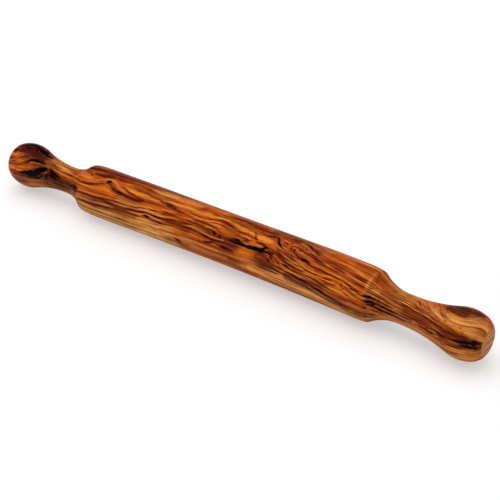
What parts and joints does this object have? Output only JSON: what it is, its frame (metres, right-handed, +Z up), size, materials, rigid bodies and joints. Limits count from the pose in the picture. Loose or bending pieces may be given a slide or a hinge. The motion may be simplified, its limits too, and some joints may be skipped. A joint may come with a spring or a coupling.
{
  "type": "rolling pin",
  "caption": "One-piece turned wooden rolling pin: a straight cylindrical barrel with coved shoulders, slim necks and rounded knob handles with sanded flat ends.",
  "frame": {"origin": "on the surface the pin lies on, under the middle of its whole length", "axes": "+X along the pin's axis towards the longer handle, +Y level across the pin, +Z up"},
  "size_m": [0.4804, 0.044, 0.0439],
  "materials": {
    "olive_wood": "oiled olive wood, orange-brown with dark red-brown and near-black heartwood veins, satin"
  },
  "bodies": {
    "root": {"rolling_pin": "olive_wood"}
  },
  "joints": []
}
